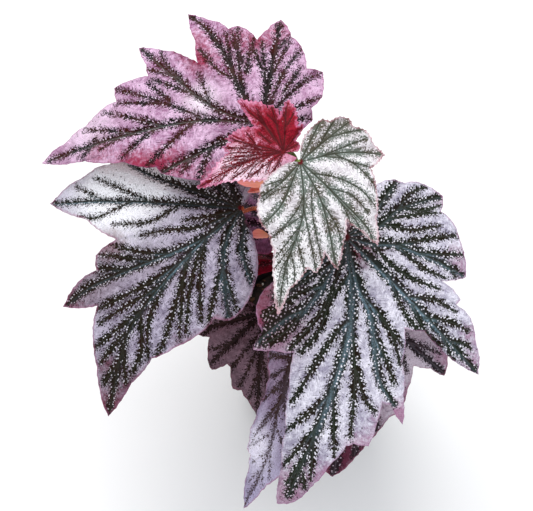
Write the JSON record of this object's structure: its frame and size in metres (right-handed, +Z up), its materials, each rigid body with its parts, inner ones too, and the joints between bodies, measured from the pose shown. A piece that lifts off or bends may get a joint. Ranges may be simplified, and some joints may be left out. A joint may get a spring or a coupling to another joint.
{
  "type": "potted rex begonia",
  "caption": "Leafy rex begonia with lobed, toothed, silver and mauve leaves on a leaning cane, standing in a plain round nursery pot.",
  "frame": {"origin": "centre of the pot's flat underside", "axes": "+Z up out of the pot; the cane leans back along +Y and the leaves face -Y; +X to the right seen from -Y"},
  "size_m": [0.2312, 0.2432, 0.2408],
  "materials": {
    "pot_plastic": "black injection-moulded polypropylene, satin",
    "potting_soil": "crumbly peat and bark potting mix with white perlite",
    "cane_bark": "red-brown succulent cane with paler dots and scars",
    "leaf_mauve": "pink-mauve blade with dark jagged vein bands and pale dots",
    "leaf_two_tone": "silver to mauve blade with brown-black vein bands",
    "leaf_silver": "silvery white blade with thin grey-green vein bands and a red-brown rim",
    "leaf_lavender": "silver-lavender blade with dark slate vein bands and pale dots",
    "leaf_crimson_pink": "young crimson blade, pink and white below",
    "leaf_plum": "dark plum-brown blade with darker vein bands",
    "leaf_lilac": "lilac blade with dark slate vein bands",
    "leaf_dusky": "dusky mauve blade with dark vein bands",
    "leaf_purple": "mottled purple blade",
    "leaf_crimson": "deep crimson blade",
    "stalk_red_brown": "orange-brown, finely hairy stalk",
    "stalk_green": "olive green, finely hairy stalk",
    "stipule_papery": "thin salmon-pink papery scale"
  },
  "bodies": {
    "root": {"pot": "pot_plastic", "soil": "potting_soil", "cane": "cane_bark", "side_shoot": "cane_bark", "blade_upper_left": "leaf_mauve", "blade_left": "leaf_two_tone", "blade_top": "leaf_silver", "blade_right": "leaf_lavender", "blade_young": "leaf_crimson_pink", "blade_low_left": "leaf_plum", "blade_low_front": "leaf_lilac", "blade_low_right": "leaf_dusky", "blade_inner": "leaf_purple", "blade_crimson": "leaf_crimson", "stalk_upper_left": "stalk_red_brown", "stalk_left": "stalk_red_brown", "stalk_top": "stalk_green", "stalk_right": "stalk_red_brown", "stalk_young": "stalk_red_brown", "stalk_low_left": "stalk_red_brown", "stalk_low_front": "stalk_red_brown", "stalk_low_right": "stalk_red_brown", "stalk_inner": "stalk_red_brown", "stalk_crimson": "stalk_red_brown", "stipule_top": "stipule_papery", "stipule_middle": "stipule_papery", "stipule_small": "stipule_papery"}
  },
  "joints": []
}
